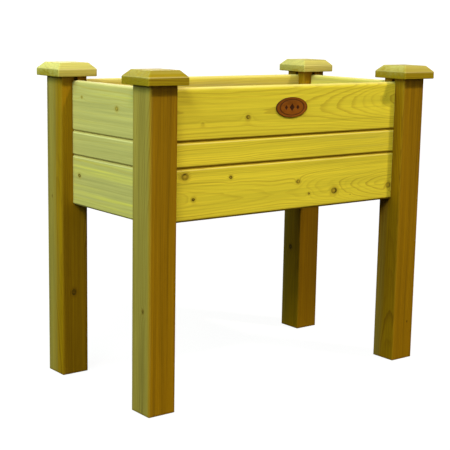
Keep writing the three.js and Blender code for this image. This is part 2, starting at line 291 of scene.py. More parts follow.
def turned(points, quarters):
    """Points turned about Z by quarter turns: each takes (x, y) to (-y, x)."""
    x, y, z = points.T
    for _ in range(quarters % 4):
        x, y = -y, x
    return np.stack([x, y, z], axis=-1)


def store(mesh, name, vectors):
    """Writes a vector for each vertex."""
    layer = mesh.attributes.new(name, "FLOAT_VECTOR", "POINT")
    layer.data.foreach_set("vector", vectors.astype(np.float32).ravel())


def put(name, data):
    """A new object in the scene, unturned at the origin."""
    made = bpy.data.objects.new(name, data)
    bpy.context.scene.collection.objects.link(made)
    return made


def finish_piece(mesh, node, material, points, sharp=35):
    """
    Puts a mesh at its place in the frame, standing for its CAD node. Edges sharper than the given
    angle, in degrees, stay crisp.
    """
    mesh.vertices.foreach_set("co", points.astype(np.float32).ravel())
    mesh.materials.append(material)
    mesh.shade_smooth()
    mesh.set_sharp_from_angle(angle=math.radians(sharp))
    mesh.update()
    piece = put(mesh.name, mesh)
    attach(piece, BODY)
    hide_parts(node)


# ---- The log that a piece is sawn from ----
NO_KNOT = 9.0  # a knot distance too far out for any knot to show


class Log:
    """
    Where a piece lies in its tree. Along runs up the trunk, and across and deep are at right
    angles to it, in metres. Pith is (across, deep) at the middle, lean is how much of each it
    gains per metre, and bend is (from where along, slope in deep after that, how soft a turn).
    A knot is (along, offset, radius, face): face "deep" if its branch grows in the deep
    direction, its offset then being across, and face "across" the other way about.
    """

    def __init__(self, seed, pith, lean, bend, spacing, heart, heart_slope, knots):
        self.chance = np.random.default_rng(seed)
        self.pith, self.lean, self.bend, self.spacing = pith, lean, bend, spacing
        self.heart, self.heart_slope, self.knots = heart, heart_slope, knots

    def wander(self, along, size):
        """A slow sideways drift along the trunk: four waves, each shorter and smaller."""
        waves = np.array([1.3, 0.55, 0.23, 0.11])
        starts = self.chance.uniform(0, 2 * math.pi, 4)
        sizes = size * np.array([1, 0.4, 0.16, 0.07])
        return (sizes * np.sin(2 * math.pi * along[:, None] / waves + starts)).sum(axis=1)

    def read(self, along, across, deep):
        """
        The ring number, knot distance, heartwood share and grain place at each point. The ring
        number is the distance from the pith over the ring spacing, with fat and lean years, and
        swells round each knot. Knot distance is 0 at a knot's middle and 1 at its edge.
        """
        turn, slope, soft = self.bend
        bent_pith = self.pith[1] + slope * soft * np.logaddexp(0, (along - turn) / soft)
        side = across - self.pith[0] - self.lean[0] * along - self.wander(along, 0.004)
        back = deep - bent_pith - self.lean[1] * along - self.wander(along, 0.0016)
        angle = np.arctan2(back, side)
        start = self.chance.uniform(0, 2 * math.pi, 5)
        radius = np.hypot(side, back)
        # The trunk isn't round: three broad swellings of 1 mm and eight narrow ones of 0.5 mm.
        radius += 0.0010 * np.sin(3 * angle + start[0] + along / 0.31)
        radius += 0.0005 * np.sin(8 * angle + start[1] + along / 0.12)
        ring = radius / self.spacing
        # Fat and lean years come and go over 120 mm of growth, and again over 43 mm.
        ring += 0.8 * np.sin(radius / 0.019 + start[2]) + 0.35 * np.sin(radius / 0.0068 + start[3])
        knot = np.full(len(along), NO_KNOT)
        bent_across, bent_deep = across.copy(), deep.copy()
        for place, offset, size, face in self.knots:
            aside = across if face == "deep" else deep
            reach = np.hypot((along - place) / 1.25, aside - offset)
            swell = np.exp(-((reach / (1.7 * size)) ** 2))
            ring += (1.1 * size / self.spacing) * swell
            ring += 0.9 * np.exp(-((reach / (4.5 * size)) ** 2))
            knot = np.minimum(knot, reach / size)
            bent = bent_across if face == "deep" else bent_deep
            bent -= (aside - offset) * np.exp(-((reach / (1.6 * size)) ** 2))
        heart = self.heart + self.heart_slope[0] * across + self.heart_slope[1] * deep
        shift = self.chance.uniform(-3, 3, 3)
        grain = np.stack([along, bent_across, bent_deep], axis=-1) + shift
        return np.stack([ring, knot, np.clip(heart, 0, 1)], axis=-1), grain

    def write(self, mesh, along, across, deep, edge):
        """
        Stores what the log holds at each vertex, for the material to read. Edge is 1 where an
        edge is worn pale and painted as a highlight, -1 down in a joint where shade is painted, and
        0 on a plain face. It also falls below 0 towards a post's foot, which is painted darker.
        """
        timber, grain = self.read(along, across, deep)
        store(mesh, "timber", timber)
        store(mesh, "grain", grain)
        layer = mesh.attributes.new("edge", "FLOAT", "POINT")
        layer.data.foreach_set("value", np.clip(edge, -1, 1).astype(np.float32))


def log_for(looks, number, **own):
    """A seeded log for a flat-sawn piece, with any of its facts given instead."""
    chance = np.random.default_rng(100 * looks.seed + number)
    facts = {
        "seed": 1000 * looks.seed + number,
        "pith": (chance.uniform(-0.03, 0.03), chance.choice([-1, 1]) * chance.uniform(0.05, 0.11)),
        "lean": (chance.uniform(-0.015, 0.015), chance.uniform(-0.012, 0.012)),
        "bend": (chance.uniform(-0.3, 0.3), chance.choice([-1, 1]) * 0.05, 0.06),
        "spacing": looks.ring_spacing * chance.uniform(0.85, 1.2),
        "heart": chance.uniform(0.55, 0.85),
        "heart_slope": (0, 0),
        "knots": (),
    }
    return Log(**{**facts, **own})


# ---- Materials ----
KNOT_STAIN = 0.5  # how strongly late wood's colour spreads round a knot
KNOT_HEART = 0.5  # and fills it
KNOT_BARK = 0.95  # how dark its line of bark is
EDGE_WEAR_HIGHLIGHT = 0.42  # how far a worn edge turns pale with its painted highlight
# How far the painted shade in a joint darkens it.
SHADE_DARKNESS = 0.7  # how far a joint turns dark
OILED_SHINE = 0.1  # specular level: the oil has sunk in, so it shines less than varnish would
WOOD_IOR = 1.5

# Patterns in cedar, as grains in a metre along, across and deep.
BROAD = (1.4, 16, 16)  # patches 70 cm long and 6 cm wide
BANDS = (1.1, 75, 75)  # bands 90 cm long and 13 mm wide
STREAKS = (2.4, 210, 210)  # streaks 40 cm long and 5 mm wide
FIBRE = (16, 650, 650)  # bundles of fibres 6 cm long and 1.5 mm wide
WAVER = (9, 110, 110)  # how a ring's line wavers, over 11 cm along and 9 mm across
BARK = (75, 95, 95)  # how a knot's bark is broken up, every 12 mm or so
PORES = (420, 420, 420)  # pores in end grain, coarse enough to show at 2.4 mm
SAW = (330, 9, 9)  # a band saw's ridges, 3 mm apart and 11 cm wide

# Patterns in the fixings and the badge, as grains in a metre along X, Y and Z.
BEECH_FLECKS = (900, 900, 120)  # flecks 1 mm wide and 8 mm long, up the dowel
ZINC_BLOOM = (700, 700, 700)  # blotches 1.4 mm wide
BADGE_PORES = (90, 900, 900)  # pores 1 mm wide and 11 mm long
BADGE_CLOUD = (30, 60, 60)  # where the stain took well or badly, 33 mm by 17 mm

# Settings that many nodes share.
SMOOTH = {"interpolation_type": "SMOOTHSTEP"}
COLOURS = {"data_type": "RGBA"}


def add_node(tree, kind, *inputs, named=None, output=0, **settings):
    """
    Adds a node and returns one of its outputs, by place or name. Settings are the node's own.
    Inputs are values or the sockets they read, in the order that the node shows them, or named.
    """
    made = tree.nodes.new("ShaderNode" + kind)
    for name, value in settings.items():
        setattr(made, name, value)
    shown = [socket for socket in made.inputs if socket.enabled]
    by_name = [(made.inputs[name], value) for name, value in (named or {}).items()]
    for socket, value in [*zip(shown, inputs), *by_name]:
        if isinstance(value, bpy.types.NodeSocket):
            tree.links.new(value, socket)
        else:
            socket.default_value = value
    if isinstance(output, str):
        return made.outputs[output]
    results = [socket for socket in made.outputs if socket.enabled]
    return results[output] if results else None


def new_material(name):
    """A node material with nothing in it yet, and what adds a node to it."""
    material = bpy.data.materials.new(name)
    material.use_nodes = True
    material.node_tree.nodes.clear()
    return material, partial(add_node, material.node_tree)


def drawn_out(add, place, stretch, detail=2.0):
    """Smooth noise about 0. Its grains are 1 / stretch metres long along, across and deep."""
    scaled = add("VectorMath", place, stretch, operation="MULTIPLY")
    return add("Math", add("TexNoise", scaled, 1.0, detail, 0.55), 0.5, operation="SUBTRACT")


def toned(add, wood, tone):
    """A colour made lighter or darker by a tone about 1."""
    grey = add("CombineXYZ", tone, tone, tone)
    return add("Mix", 1.0, wood, grey, **COLOURS, blend_type="MULTIPLY")


def cedar(name, looks, pale, deep, late, **finish):
    """A material of cedar whose log is stored at the piece's own vertices."""
    material, add = new_material(name)
    timber = add("Attribute", output="Vector", attribute_name="timber")
    ring, knot_distance, heart = (add("SeparateXYZ", timber, output=axis) for axis in "XYZ")
    grain = add("Attribute", output="Vector", attribute_name="grain")
    edge = add("Attribute", output="Fac", attribute_name="edge")
    paint_cedar(add, looks, ring, knot_distance, heart, grain, edge, pale, deep, late, **finish)
    return material


def paint_cedar(
    add, looks, ring, knot_distance, heart, grain, edge, pale, deep, late,
    *, streak, line, rough, saw_marks=0.0, end_axis=None,
):
    """
    Western red cedar. Each ring runs from pale early wood to a fine dark line of late wood, broken
    up by short fibre streaks. Fibres are 0.05 mm across, so they are drawn in bundles 1.5 mm wide
    to show at all. Late wood stands a little proud of early wood, and bark lies a little lower.
    """
    broad = drawn_out(add, grain, BROAD)
    bands = drawn_out(add, grain, BANDS, 3)
    streaks = drawn_out(add, grain, STREAKS)
    fibre = drawn_out(add, grain, FIBRE)
    waver = drawn_out(add, grain, WAVER)

    # Late wood: the ring's last part, darkening slowly and ending sharply. A few years stand out.
    year = add("Math", waver, 0.55, ring, operation="MULTIPLY_ADD")
    share = add("Math", year, operation="FRACT")
    rise = add("MapRange", share, 0.3, 0.93, 0, 1, **SMOOTH)
    rise = add("Math", rise, 2.2, operation="POWER")
    fall = add("MapRange", share, 0.95, 1, 1, 0, **SMOOTH)
    shape = add("Math", rise, fall, operation="MULTIPLY")
    vary = add("TexWhiteNoise", add("Math", year, operation="FLOOR"), noise_dimensions="1D")
    vary = add("Math", vary, 1.6, operation="POWER")
    strength = add("Math", vary, line, 0.22 * line, operation="MULTIPLY_ADD")
    shape = add("Math", shape, strength, operation="MULTIPLY")
    broken = add("Math", broad, 1.2, 1.0, operation="MULTIPLY_ADD")
    late_share = add("Math", shape, broken, operation="MULTIPLY")

    # Heartwood runs into sapwood in streaks, and its late wood is the darker.
    heart = add("Math", bands, 0.9, heart, operation="MULTIPLY_ADD")
    heart = add("Math", broad, 0.7, heart, operation="MULTIPLY_ADD")
    heart = add("MapRange", heart, 0.15, 0.85, 0, 1, **SMOOTH)
    ground = add("Mix", heart, pale, deep, **COLOURS)
    darker = add("MapRange", heart, 0, 1, 0.45, 1, **SMOOTH)
    late_share = add("Math", late_share, darker, operation="MULTIPLY")
    wood = add("Mix", late_share, ground, late, **COLOURS)

    # Light and dark streaks multiply the colour.
    tone = 1.0
    for pattern, weight in ((bands, 0.95), (streaks, 0.75), (fibre, 0.45), (broad, 0.55)):
        tone = add("Math", pattern, weight * streak, tone, operation="MULTIPLY_ADD")
    wood = toned(add, wood, tone)

    # A knot: a broken line of dark bark round a paler heart, and stained wood outside it.
    uneven = drawn_out(add, grain, BARK, 3)
    ragged = add("Math", uneven, 0.9, knot_distance, operation="MULTIPLY_ADD")
    for near, far, most in ((1.0, 2.8, KNOT_STAIN), (0.5, 1.0, KNOT_HEART)):
        stain = add("MapRange", ragged, near, far, most, 0, **SMOOTH)
        wood = add("Mix", stain, wood, late, **COLOURS)
    from_edge = add("Math", add("Math", ragged, 0.9, operation="SUBTRACT"), operation="ABSOLUTE")
    bark = add("MapRange", from_edge, 0.1, 0.6, KNOT_BARK, 0, **SMOOTH)
    broken = add("MapRange", uneven, -0.14, 0.08, 0.35, 1, **SMOOTH)
    bark = add("Math", bark, broken, operation="MULTIPLY")
    wood = add("Mix", bark, wood, looks.knot, **COLOURS)

    # Worn edges are painted pale as a highlight. The joints get a dark line of painted shade, and
    # the posts darken towards their feet.
    highlight_share = add("Math", bands, 0.8, edge, operation="MULTIPLY_ADD")
    highlight_share = add("MapRange", highlight_share, 0.2, 1, 0, EDGE_WEAR_HIGHLIGHT, **SMOOTH)
    wood = add("Mix", highlight_share, wood, looks.worn_highlight, **COLOURS)
    shade_share = add("MapRange", edge, -0.1, -0.9, 0, SHADE_DARKNESS, **SMOOTH)
    wood = add("Mix", shade_share, wood, looks.painted_shade, **COLOURS)

    relief = add("Math", late_share, 0.5, fibre, operation="MULTIPLY_ADD")
    relief = add("Math", bark, -0.6, relief, operation="MULTIPLY_ADD")
    if end_axis is not None:
        # End grain drinks the oil: darker, and speckled with open pores.
        facing = add("NewGeometry", output="Normal")
        along = add("VectorMath", facing, end_axis, operation="DOT_PRODUCT")
        along = add("Math", along, operation="ABSOLUTE")
        end = add("MapRange", along, 0.75, 0.95, 0, 1, **SMOOTH)
        pores = drawn_out(add, grain, PORES, 3)
        drunk = add("Math", pores, 1.1, 0.3, operation="MULTIPLY_ADD")
        end = add("Math", end, drunk, operation="MULTIPLY")
        wood = add("Mix", end, wood, late, **COLOURS)
        relief = add("Math", end, -0.5, relief, operation="MULTIPLY_ADD")
    if saw_marks:
        # A band saw leaves ridges across the grain.
        saw = drawn_out(add, grain, SAW, 1)
        relief = add("Math", saw, saw_marks, relief, operation="MULTIPLY_ADD")
        tone = add("Math", saw, 0.25 * saw_marks, 1.0, operation="MULTIPLY_ADD")
        wood = toned(add, wood, tone)
    bump = add("Bump", named={"Strength": 0.5, "Distance": 0.6 * MM, "Height": relief})
    gloss = add("Math", fibre, 0.3, rough, operation="MULTIPLY_ADD")
    gloss = add("Math", late_share, -0.08, gloss, operation="MULTIPLY_ADD")
    surface = {"Base Color": wood, "Roughness": gloss, "Normal": bump, "IOR": WOOD_IOR}
    surface["Specular IOR Level"] = OILED_SHINE
    add("OutputMaterial", add("BsdfPrincipled", named=surface))


def board_cedar(looks):
    """Planed and oiled cedar boards: light, golden, with clear dark rings and small knots."""
    colours = looks.board_pale, looks.board_gold, looks.board_late
    return cedar("cedar_board_planed", looks, *colours, streak=0.5, line=0.6, rough=0.5)


def post_cedar(looks):
    """Planed and oiled cedar posts, sawn nearer the heart: browner, with long dark streaks."""
    colours = looks.post_olive, looks.post_brown, looks.post_late
    upright = {"streak": 0.75, "line": 0.7, "rough": 0.48, "end_axis": (0, 0, 1)}
    return cedar("cedar_post_planed", looks, *colours, **upright)


def cap_cedar(looks):
    """Planed and oiled cedar caps, between boards and posts in colour, with dark end grain."""
    colours = looks.cap_pale, looks.cap_tan, looks.post_late
    level = {"streak": 0.55, "line": 0.5, "rough": 0.5, "end_axis": (1, 0, 0)}
    return cedar("cedar_cap_planed", looks, *colours, **level)


def floor_cedar(looks):
    """Rough-sawn cedar slats: unfinished, dull, with the saw's marks across the grain."""
    colours = looks.floor_pale, looks.floor_tan, looks.board_late
    finish = {"streak": 0.7, "line": 0.6, "rough": 0.8, "saw_marks": 0.5}
    return cedar("cedar_slat_rough_sawn", looks, *colours, **finish)


def cleat_cedar(looks, name, turn):
    """
    Rough-sawn cedar cleats. Their log is worked out here from Object coordinates: rings round a
    pith that lies under the floor and off its middle, far enough to show as long straight lines.
    """
    pith_height, pith_aside, pith_lean, ring_spacing = 0.43, 0.04, 0.02, 4 * MM
    material, add = new_material(name)
    place = add("TexCoord", output="Object")
    grain = add("Mapping", place, (0, 0, 0), (0, 0, turn))
    x, y, z = (add("SeparateXYZ", grain, output=axis) for axis in "XYZ")
    above = add("Math", z, pith_height, operation="SUBTRACT")
    aside = add("Math", y, pith_aside, operation="ADD")
    aside = add("Math", x, pith_lean, aside, operation="MULTIPLY_ADD")
    squares = add("Math", aside, aside, operation="MULTIPLY")
    squares = add("Math", above, above, squares, operation="MULTIPLY_ADD")
    radius = add("Math", squares, operation="SQRT")
    ring = add("Math", radius, 1 / ring_spacing, operation="MULTIPLY")
    colours = looks.floor_pale, looks.floor_tan, looks.board_late
    finish = {"streak": 0.7, "line": 0.5, "rough": 0.8, "saw_marks": 0.5}
    heart, edge = 0.6, 0.0
    paint_cedar(add, looks, ring, NO_KNOT, heart, grain, edge, *colours, **finish)
    return material


def shaded(paint, share):
    """A colour with its light multiplied."""
    return (*(share * part for part in paint[:3]), 1.0)


def dowel_beech():
    """Turned beech dowels, bare: pale pinkish tan with short fine flecks along the grain."""
    material, add = new_material("beech_dowel_turned")
    fleck = drawn_out(add, add("TexCoord", output="Object"), BEECH_FLECKS)
    share = add("MapRange", fleck, -0.15, 0.25, 0, 1, **SMOOTH)
    tan = add("Mix", share, linear("#D2AE7C"), linear("#B58A58"), **COLOURS)
    bump = add("Bump", named={"Strength": 0.3, "Distance": 0.3 * MM, "Height": fleck})
    bare = {"Base Color": tan, "Roughness": 0.6, "Normal": bump}
    add("OutputMaterial", add("BsdfPrincipled", named=bare))
    return material


def screw_zinc(looks):
    """Steel screws, zinc plated and passivated: a cool metal sheen with a faint yellow bloom."""
    material, add = new_material("steel_screw_zinc_plated")
    bloom = drawn_out(add, add("TexCoord", output="Object"), ZINC_BLOOM, 3)
    share = add("MapRange", bloom, -0.2, 0.25, 0, 1, **SMOOTH)
    metal = add("Mix", share, looks.screw, shaded(looks.screw, 0.75), **COLOURS)
    rough = add("Math", bloom, 0.3, 0.34, operation="MULTIPLY_ADD")
    plated = {"Base Color": metal, "Roughness": rough, "Metallic": 1.0}
    add("OutputMaterial", add("BsdfPrincipled", named=plated))
    return material


def badge_stain(looks):
    """Close-grained wood, stained dark and lacquered satin, with its engraving burnt darker and its
    rim painted darker.
    """
    material, add = new_material("hardwood_badge_stained")
    place = add("TexCoord", output="Object")
    pores = drawn_out(add, place, BADGE_PORES, 3)
    cloud = drawn_out(add, place, BADGE_CLOUD)
    light, dark = shaded(looks.badge, 1.5), shaded(looks.badge, 0.35)
    share = add("MapRange", cloud, -0.25, 0.25, 0, 1, **SMOOTH)
    stain = add("Mix", share, looks.badge, light, **COLOURS)
    share = add("MapRange", pores, 0, 0.3, 0, 0.5, **SMOOTH)
    stain = add("Mix", share, stain, dark, **COLOURS)
    carved = add("Attribute", output="Fac", attribute_name="carving")
    # The carving attribute also holds the darker rim.
    darkened = add("Math", carved, 0.9, operation="MULTIPLY")
    stain = add("Mix", darkened, stain, linear("#2A1206"), **COLOURS)
    bump = add("Bump", named={"Strength": 0.3, "Distance": 0.3 * MM, "Height": pores})
    satin = {"Base Color": stain, "Roughness": 0.42, "Normal": bump, "Specular IOR Level": 0.2}
    add("OutputMaterial", add("BsdfPrincipled", named=satin))
    return material


# ---- Posts ----
def post_outlines(half, inset, sizes):
    """
    A post in plan, anticlockwise, twice over with the same points: with its two dovetail sockets,
    in its +X and +Y faces, and plain, with each socket's points moved out to its face.
    """
    slope = (sizes.tail_end - sizes.tail_neck) / 2 / sizes.tail_length
    mouth = sizes.tail_neck / 2 + slope * sizes.joint_gap + sizes.tail_fit
    floor = half + sizes.joint_gap - sizes.tail_length - sizes.tail_fit
    wide = sizes.tail_end / 2 + sizes.tail_fit
    across = inset + np.array([-mouth, -wide, wide, mouth])
    filled = inset + mouth * np.array([-1, -1 / 3, 1 / 3, 1])
    depth = np.array([half, floor, floor, half])
    face = np.full(4, half)
    square = half * SQUARE
    corner, socket = [sizes.post_round], [FINE] * 4
    radii = 2 * corner + socket + corner + socket + corner

    def outline(first, second):
        corners = np.concatenate([square[:2], first, square[2:3], second[::-1], square[3:]])
        return rounded(corners, radii, 4)

    socketed = outline(np.stack([depth, across], -1), np.stack([across, depth], -1))
    plain = outline(np.stack([face, filled], -1), np.stack([filled, face], -1))
    return dense(socketed, PLAN_STEP, plain)


def ring_of(radius, count, z):
    """A level circle of points about Z, anticlockwise from halfway between -X and -Y."""
    t = 2 * math.pi * np.arange(count) / count - 0.75 * math.pi
    return np.stack([radius * np.cos(t), radius * np.sin(t), np.full(count, z)], axis=-1)


def at_height(outline, z):
    """A plan outline as points at a height."""
    return np.column_stack([outline, np.full(len(outline), z)])


def post_shell(half, height, foot, inset, sizes):
    """
    A post standing on z = 0: its plan carried up from a rounded foot, plain up to the sockets'
    foot and socketed above it, with a dowel hole in its top.
    """
    socketed, plain = post_outlines(half, inset, sizes)
    insets, heights = quarter_round(sizes.post_ease)
    ease = sizes.post_ease

    def eased(outline, amount):
        return np.clip(outline, amount - half, half - amount)

    loops = [at_height(eased(plain, ease) * share, 0) for share in np.linspace(0, 1, 7)[:-1]]
    loops += [at_height(eased(plain, i), z) for i, z in zip(insets, heights)]
    loops += [at_height(plain, z) for z in stations(ease, foot, LONG_STEP)[1:]]
    loops += [at_height(socketed, z) for z in stations(foot, height - ease, LONG_STEP)]
    top = list(zip(insets, heights))[-2::-1]
    loops += [at_height(eased(socketed, i), height - z) for i, z in top]
    shell = Shell()
    shell.tube(np.array(loops))
    hole = sizes.dowel_radius + sizes.joint_gap
    depth = height - sizes.dowel_in_post - sizes.joint_gap
    bore = [ring_of(r, 24, z) for r, z in ((hole, height), (hole, depth), (0, depth))]
    shell.tube(np.array(bore))
    shell.lid((0, 0, 1), loops[-1], bore[0])
    return shell


POST_RINGS = 3.4 * MM  # width of one year's ring in the posts
POST_WEAR_HIGHLIGHT, POST_HIGHLIGHT_WIDTH = 0.12, 6 * MM  # worn, with a painted highlight, on a post's four long edges
FOOT_DARKENING, FOOT_DARKENING_HEIGHT = 0.6, 9 * MM  # painted darker towards a post's foot

# What sets a post's timber apart. Along runs up, across runs right and deep runs to the rear.
# The front and rear right posts' heart shares are set high partly as painted shade: their browner
# timber darkens their left faces, which lie in shade.
POST_LOGS = {
    "front_left": {
        "pith": (0.060, -0.016), "lean": (0.010, 0.006), "heart": 0.55, "heart_slope": (32, -32),
        "knots": [(0.2526, -0.010, 0.003, "across")],
    },
    "front_right": {
        "pith": (0.050, -0.030), "lean": (0.012, 0.004), "heart": 1.35, "heart_slope": (12, -12),
        "knots": [(0.105, 0.014, 0.002, "deep")],
    },
    "rear_right": {
        "pith": (0.055, -0.010), "lean": (0.010, 0.010), "heart": 1.2, "heart_slope": (9, -6),
        "knots": [(0.249, 0.003, 0.005, "across")],
    },
    "rear_left": {
        "pith": (0.045, -0.040), "lean": (-0.010, 0.008), "heart": 1.0, "heart_slope": (15, -15),
        "knots": [(0.220, -0.0045, 0.0055, "deep"), (0.47, 0.012, 0.002, "across")],
    },
}


class PLANTER_OT_posts(Operator):
    """Build the four posts, socketed for the boards"""

    bl_idname = "planter.posts"
    bl_label = "Posts"

    def execute(self, context):
        sizes, looks = context.scene.planter_sizes, context.scene.planter_looks
        material = post_cedar(looks)
        board_low, _, board_middle = box_of("board_front_bottom")
        for quarter, corner in enumerate(CORNERS):
            name = f"post_{corner}"
            low, high, middle = box_of(name)
            half = (high[0] - low[0]) / 2
            inset = abs(middle[1]) - abs(board_middle[1])
            foot = board_low[2] - sizes.joint_gap
            mesh = post_shell(half, high[2] - low[2], foot, inset, sizes).mesh(f"{name}_timber")
            points = turned(points_of(mesh), quarter)
            x, y, z = points.T
            corner_gap = np.hypot(half - np.abs(x), half - np.abs(y))
            worn_highlight = POST_WEAR_HIGHLIGHT * (1 - corner_gap / POST_HIGHLIGHT_WIDTH).clip(0, 1)
            # Each post is painted darker towards its foot.
            darker_foot = FOOT_DARKENING * (1 - z / FOOT_DARKENING_HEIGHT).clip(0, 1)
            log = log_for(looks, quarter, spacing=POST_RINGS, **POST_LOGS[corner])
            log.write(mesh, z, x, y, worn_highlight - darker_foot)
            finish_piece(mesh, name, material, points + foot_of(name))
        return {"FINISHED"}


# ---- Caps ----
def cap_shell(side, height, sizes):
    """
    A cap with its seat at z = 0, in loops from the dowel hole's end, out across the seat, up the
    rim and the bevel and in across the top. Each loop is a rounded square, or at the hole a circle.
    """
    half, ease = side / 2, sizes.cap_ease
    plan = dense(rounded(half * SQUARE, 2 * ease, 4), PLAN_STEP)
    angles = np.arctan2(plan[:, 1], plan[:, 0])
    circle = np.stack([np.cos(angles), np.sin(angles)], axis=-1)
    hole = sizes.dowel_radius + sizes.joint_gap
    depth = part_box("dowel_front_left")[1][2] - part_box("cap_front_left")[0][2] + sizes.joint_gap
    loops = [at_height(circle * hole * share, depth) for share in (0, 0.5, 1)]
    loops += [at_height(circle * hole, z) for z in (depth / 2, 0)]
    seat = plan * (half - ease) / half
    loops += [at_height(circle * hole * (1 - s) + seat * s, 0) for s in np.linspace(0.2, 1, 6)]
    bends = [(half, 0), (half, sizes.cap_rim), (half - sizes.cap_bevel, height)]
    steps = 4
    profile = rounded([*bends, (0, height), (0, 0)], [ease] * 3 + [FINE] * 2, steps)
    profile = profile[: len(bends) * (steps + 1)]
    for here, following in zip(profile[:-1], profile[1:]):
        stretch = cut_open(here, following, PLAN_STEP)
        loops += [at_height(plan * reach / half, z) for reach, z in stretch]
    top = loops[-1][:, :2]
    loops += [at_height(top * share, height) for share in np.linspace(1, 0, 9)]
    shell = Shell()
    shell.tube(np.array(loops))
    return shell


def cut_open(start, end, step):
    """The start of a straight stretch and evenly spaced places along it, without its end."""
    parts = max(1, math.ceil(np.linalg.norm(end - start) / step))
    share = (np.arange(parts) / parts)[:, None]
    return start * (1 - share) + end * share


CAP_WEAR_HIGHLIGHT, CAP_HIGHLIGHT_WIDTH = 0.6, 4 * MM  # worn, with a painted highlight, round the foot of a cap's bevel
FIRST_CAP_LOG = 10

# Share of heartwood at each cap's seat, and what it loses per metre going up.
CAP_HEART = {
    "front_left": (1.08, 12),
    "front_right": (0.9, 18),
    "rear_right": (0.45, 18),
    "rear_left": (0.62, 18),
}


class PLANTER_OT_caps(Operator):
    """Build the four bevelled caps"""

    bl_idname = "planter.caps"
    bl_label = "Caps"

    def execute(self, context):
        sizes, looks = context.scene.planter_sizes, context.scene.planter_looks
        material = cap_cedar(looks)
        for quarter, corner in enumerate(CORNERS):
            name = f"cap_{corner}"
            low, high, _ = box_of(name)
            mesh = cap_shell(high[0] - low[0], high[2] - low[2], sizes).mesh(f"{name}_timber")
            points = points_of(mesh)
            x, y, z = points.T
            worn_highlight = CAP_WEAR_HIGHLIGHT * (1 - np.abs(z - sizes.cap_rim) / CAP_HIGHLIGHT_WIDTH).clip(0, 1)
            heart, loss = CAP_HEART[corner]
            log = log_for(looks, FIRST_CAP_LOG + quarter, heart=heart, heart_slope=(0, -loss))
            log.write(mesh, x, y, z, worn_highlight)
            finish_piece(mesh, name, material, points + foot_of(name), sharp=25)
        return {"FINISHED"}


# ---- Boards ----
def board_section(half, height, grooved, tongued, sizes):
    """
    A board's section, anticlockwise in (y, z) with its foot at z = 0: bevelled long edges, a groove
    in its foot if grooved, and on top a tongue, or else one full round.
    """
    bevel, ease = sizes.board_bevel, sizes.board_ease
    cheek = sizes.tongue_thickness / 2
    foot = [(half - bevel, 0, FINE), (half, bevel, ease)]
    if grooved:
        side = cheek + sizes.tongue_fit
        roof = sizes.tongue_height + sizes.tongue_end_fit
        foot = [(side, roof, FINE), (side, 0, FINE), *foot]
    if tongued:
        tip = height + sizes.tongue_height
        top = [(half, height - bevel, ease), (half - bevel, height, FINE)]
        top += [(cheek, height, FINE), (cheek, tip, 2 * FINE)]
    else:
        almost_half = half - 0.01 * MM  # so that two corners of the rim don't fall together
        top = [(half, height, almost_half)]
    right = foot + top
    corners = np.array(right + [(-y, z, radius) for y, z, radius in right[::-1]])
    return dense(rounded(corners[:, :2], corners[:, 2]), SECTION_STEP)


def board_shell(body, half, height, grooved, tongued, sizes):
    """
    A board along X: its section carried from tail to tail, with y held inside the plan. The plan is
    a tail's flare at each end and the full thickness between the shoulders, whose edges are eased.
    """
    section = board_section(half, height, grooved, tongued, sizes)
    insets, heights = quarter_round(sizes.shoulder_ease)
    shoulder = body / 2
    tip = shoulder + sizes.tail_length
    left = np.concatenate([[-tip, -shoulder], -shoulder + heights])
    reach = np.concatenate([[sizes.tail_end / 2, sizes.tail_neck / 2], half - insets])
    inner = shoulder - sizes.shoulder_ease
    middle = stations(-inner, inner, BOARD_STEP)[1:-1]
    x = np.concatenate([left, middle, -left[::-1]])
    limit = np.concatenate([reach, np.full(len(middle), half), reach[::-1]])
    y = np.clip(section[:, 0], -limit[:, None], limit[:, None])
    z = np.broadcast_to(section[:, 1], y.shape)
    loops = np.stack([np.broadcast_to(x[:, None], y.shape), y, z], axis=-1)
    shell = Shell()
    shell.tube(loops)
    shell.lid((-1, 0, 0), loops[0])
    shell.lid((1, 0, 0), loops[-1])
    return shell


FIRST_BOARD_LOG = 21
BEVEL_HIGHLIGHT_WIDTH = 0.7  # of a bevel's own width
# Worn shoulders, with a painted highlight.
SHOULDER_WEAR_HIGHLIGHT, SHOULDER_HIGHLIGHT_WIDTH = 0.9, 2.5 * MM
# Painted shade in each side's joints, stronger on the front and rear boards than on the ends.
JOINT_SHADE = {"front": 1.8, "rear": 1.8, "right": 0.5, "left": 0.5}
SHADE_REACH = 1.6  # painted shade at a joint, fading over so many bevels above it and over one below it


def board_edge(x, z, body, thick, height, tongued, shade_strength, sizes):
    """
    A board's wear with its painted highlight, and its painted shade. The highlight lies on worn
    edges: the crests of its upper bevels, or over its round rim, and at its shoulders.
    Painted shade lies where it meets another board, and covers its tongue.
    """
    bevel = sizes.board_bevel
    crest, reach = (height - bevel, BEVEL_HIGHLIGHT_WIDTH * bevel) if tongued else (height, thick / 2)
    highlight_share = 1 - np.abs(z - crest) / reach
    shoulder = 1 - (body / 2 - np.abs(x)) / SHOULDER_HIGHLIGHT_WIDTH
    worn_highlight = np.maximum(highlight_share.clip(0, 1), SHOULDER_WEAR_HIGHLIGHT * shoulder.clip(0, 1))
    from_joint = np.minimum(z, SHADE_REACH * np.abs(z - height)) if tongued else z
    edge = worn_highlight - shade_strength * (SHADE_REACH - from_joint / bevel).clip(0, 1)
    if tongued:
        return np.where(z > height + MM, -1, edge)
    return np.where(z > height - thick, np.maximum(edge, highlight_share), edge)


